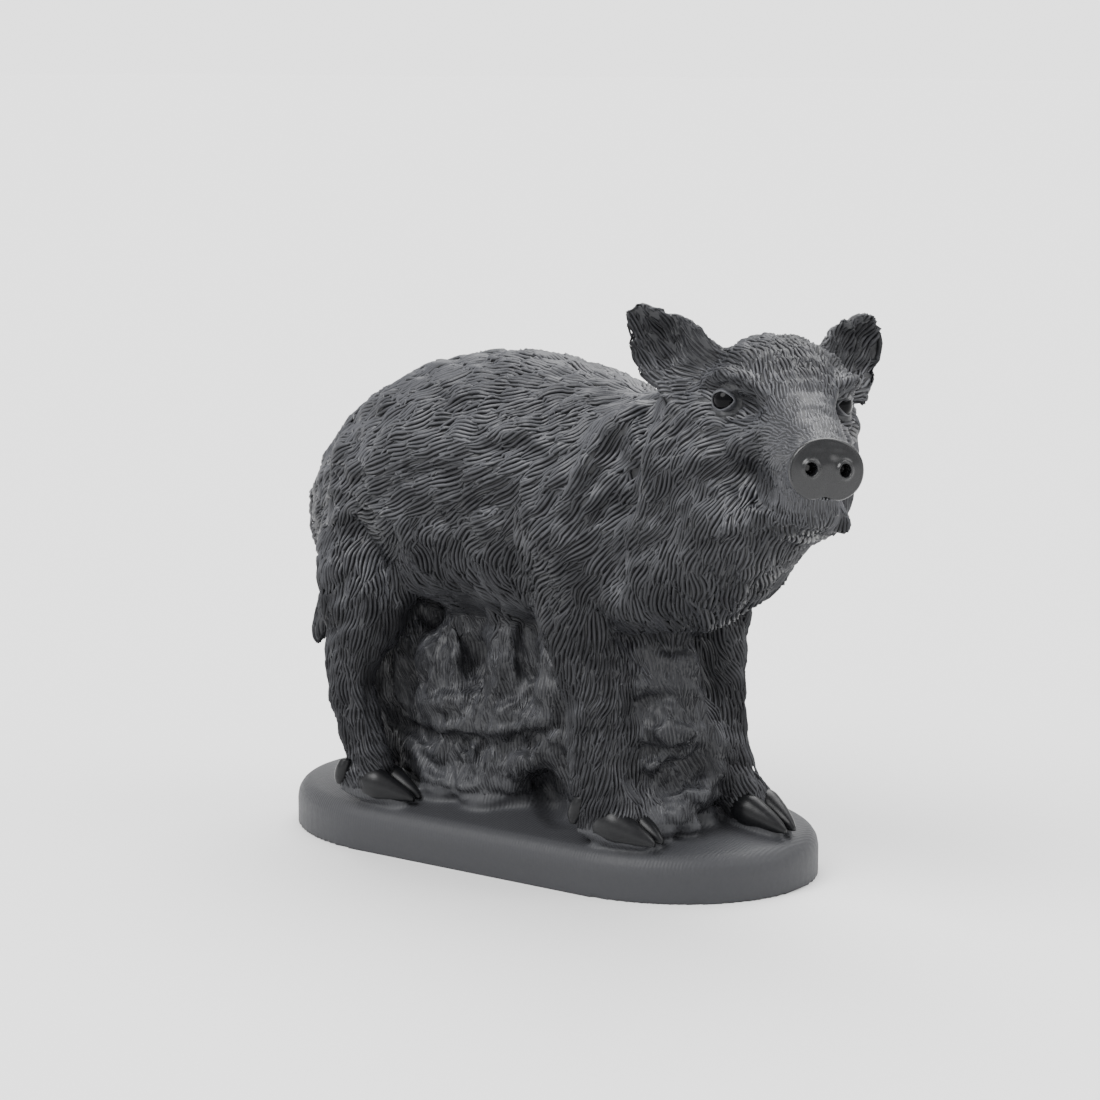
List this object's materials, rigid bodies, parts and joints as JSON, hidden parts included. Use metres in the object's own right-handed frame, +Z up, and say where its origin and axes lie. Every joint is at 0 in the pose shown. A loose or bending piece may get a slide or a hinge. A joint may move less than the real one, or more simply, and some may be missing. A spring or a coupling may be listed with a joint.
{
  "type": "piglet sculpture",
  "caption": "Furry young pig standing over a rocky mound on a low oval plinth, head turned to its right, cast as one in black resin.",
  "frame": {"origin": "middle of the plinth's underside", "axes": "+Z up, +X along the plinth towards the end under the head, +Y to the piglet's left"},
  "size_m": [0.4525, 0.2222, 0.3356],
  "materials": {
    "black_resin": "satin black cast resin"
  },
  "bodies": {
    "root": {"piglet_on_plinth": "black_resin"}
  },
  "joints": []
}
